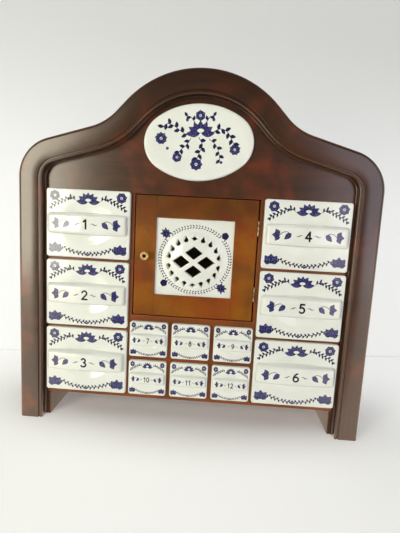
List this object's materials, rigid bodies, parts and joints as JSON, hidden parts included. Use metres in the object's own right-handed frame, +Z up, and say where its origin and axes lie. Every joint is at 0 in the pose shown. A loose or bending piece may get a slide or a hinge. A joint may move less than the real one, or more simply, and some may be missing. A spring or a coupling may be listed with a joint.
{
  "type": "spice cabinet",
  "caption": "Free-standing spice cabinet with an arched crown, ceramic drawers, a small hinged door with a pierced tile, and an oval plaque.",
  "frame": {"origin": "on the floor under the middle of the cabinet's width and of its depth", "axes": "+X to the right seen from the front, front faces -Y, +Z up"},
  "size_m": [0.417, 0.1466, 0.421],
  "materials": {
    "dark_wood": "dark glossy lacquer",
    "door_wood": "orange-brown glossy lacquer",
    "plain_wood": "unfinished",
    "glazed_ceramic": "white glaze with cobalt blue decoration",
    "brass": "dull",
    "steel": "plain",
    "pale_wood": "clear lacquer"
  },
  "bodies": {
    "cabinet": {"left_side": "dark_wood", "right_side": "dark_wood", "bottom_board": "dark_wood", "top_board": "dark_wood", "left_divider": "dark_wood", "right_divider": "dark_wood", "left_upper_shelf": "dark_wood", "left_lower_shelf": "dark_wood", "right_upper_shelf": "dark_wood", "right_lower_shelf": "dark_wood", "door_shelf": "dark_wood", "small_drawer_shelf": "dark_wood", "left_upright": "dark_wood", "right_upright": "dark_wood", "header_panel": "dark_wood", "back_panel": "plain_wood", "back_panel_nails": "steel", "left_post": "dark_wood", "right_post": "dark_wood", "left_shoulder_moulding": "dark_wood", "right_shoulder_moulding": "dark_wood", "crown_moulding": "dark_wood", "oval_plaque": "glazed_ceramic", "upper_hinge_frame_leaf": "brass", "upper_hinge_pin": "brass", "lower_hinge_frame_leaf": "brass", "lower_hinge_pin": "brass", "frame_leaf_screws": "brass", "catch_block": "plain_wood", "catch_magnet": "steel"},
    "door": {"door_left_stile": "door_wood", "door_right_stile": "door_wood", "door_top_rail": "door_wood", "door_bottom_rail": "door_wood", "pierced_tile": "glazed_ceramic", "tile_retaining_strips": "door_wood", "door_knob": "pale_wood", "knob_screw": "steel", "upper_hinge_door_leaf": "brass", "lower_hinge_door_leaf": "brass", "door_leaf_screws": "brass", "catch_strike": "steel"},
    "left_drawer_top": {"left_drawer_top": "glazed_ceramic"},
    "left_drawer_middle": {"left_drawer_middle": "glazed_ceramic"},
    "left_drawer_bottom": {"left_drawer_bottom": "glazed_ceramic"},
    "right_drawer_top": {"right_drawer_top": "glazed_ceramic"},
    "right_drawer_middle": {"right_drawer_middle": "glazed_ceramic"},
    "right_drawer_bottom": {"right_drawer_bottom": "glazed_ceramic"},
    "small_drawer_1": {"small_drawer_1": "glazed_ceramic"},
    "small_drawer_2": {"small_drawer_2": "glazed_ceramic"},
    "small_drawer_3": {"small_drawer_3": "glazed_ceramic"},
    "small_drawer_4": {"small_drawer_4": "glazed_ceramic"},
    "small_drawer_5": {"small_drawer_5": "glazed_ceramic"},
    "small_drawer_6": {"small_drawer_6": "glazed_ceramic"}
  },
  "joints": [
    {"name": "door_hinge", "type": "hinge", "parent": "cabinet", "child": "door", "pos_m": [0.0725, -0.0607, 0.2092], "axis": [0, 0, 1], "range_deg": [0, 90]},
    {"name": "left_drawer_top_slide", "type": "slide", "parent": "cabinet", "child": "left_drawer_top", "axis": [0, -1, 0], "range_m": [0, 0.095]},
    {"name": "left_drawer_middle_slide", "type": "slide", "parent": "cabinet", "child": "left_drawer_middle", "axis": [0, -1, 0], "range_m": [0, 0.095]},
    {"name": "left_drawer_bottom_slide", "type": "slide", "parent": "cabinet", "child": "left_drawer_bottom", "axis": [0, -1, 0], "range_m": [0, 0.095]},
    {"name": "right_drawer_top_slide", "type": "slide", "parent": "cabinet", "child": "right_drawer_top", "axis": [0, -1, 0], "range_m": [0, 0.095]},
    {"name": "right_drawer_middle_slide", "type": "slide", "parent": "cabinet", "child": "right_drawer_middle", "axis": [0, -1, 0], "range_m": [0, 0.095]},
    {"name": "right_drawer_bottom_slide", "type": "slide", "parent": "cabinet", "child": "right_drawer_bottom", "axis": [0, -1, 0], "range_m": [0, 0.095]},
    {"name": "small_drawer_1_slide", "type": "slide", "parent": "cabinet", "child": "small_drawer_1", "axis": [0, -1, 0], "range_m": [0, 0.085]},
    {"name": "small_drawer_2_slide", "type": "slide", "parent": "cabinet", "child": "small_drawer_2", "axis": [0, -1, 0], "range_m": [0, 0.085]},
    {"name": "small_drawer_3_slide", "type": "slide", "parent": "cabinet", "child": "small_drawer_3", "axis": [0, -1, 0], "range_m": [0, 0.085]},
    {"name": "small_drawer_4_slide", "type": "slide", "parent": "cabinet", "child": "small_drawer_4", "axis": [0, -1, 0], "range_m": [0, 0.085]},
    {"name": "small_drawer_5_slide", "type": "slide", "parent": "cabinet", "child": "small_drawer_5", "axis": [0, -1, 0], "range_m": [0, 0.085]},
    {"name": "small_drawer_6_slide", "type": "slide", "parent": "cabinet", "child": "small_drawer_6", "axis": [0, -1, 0], "range_m": [0, 0.085]}
  ]
}
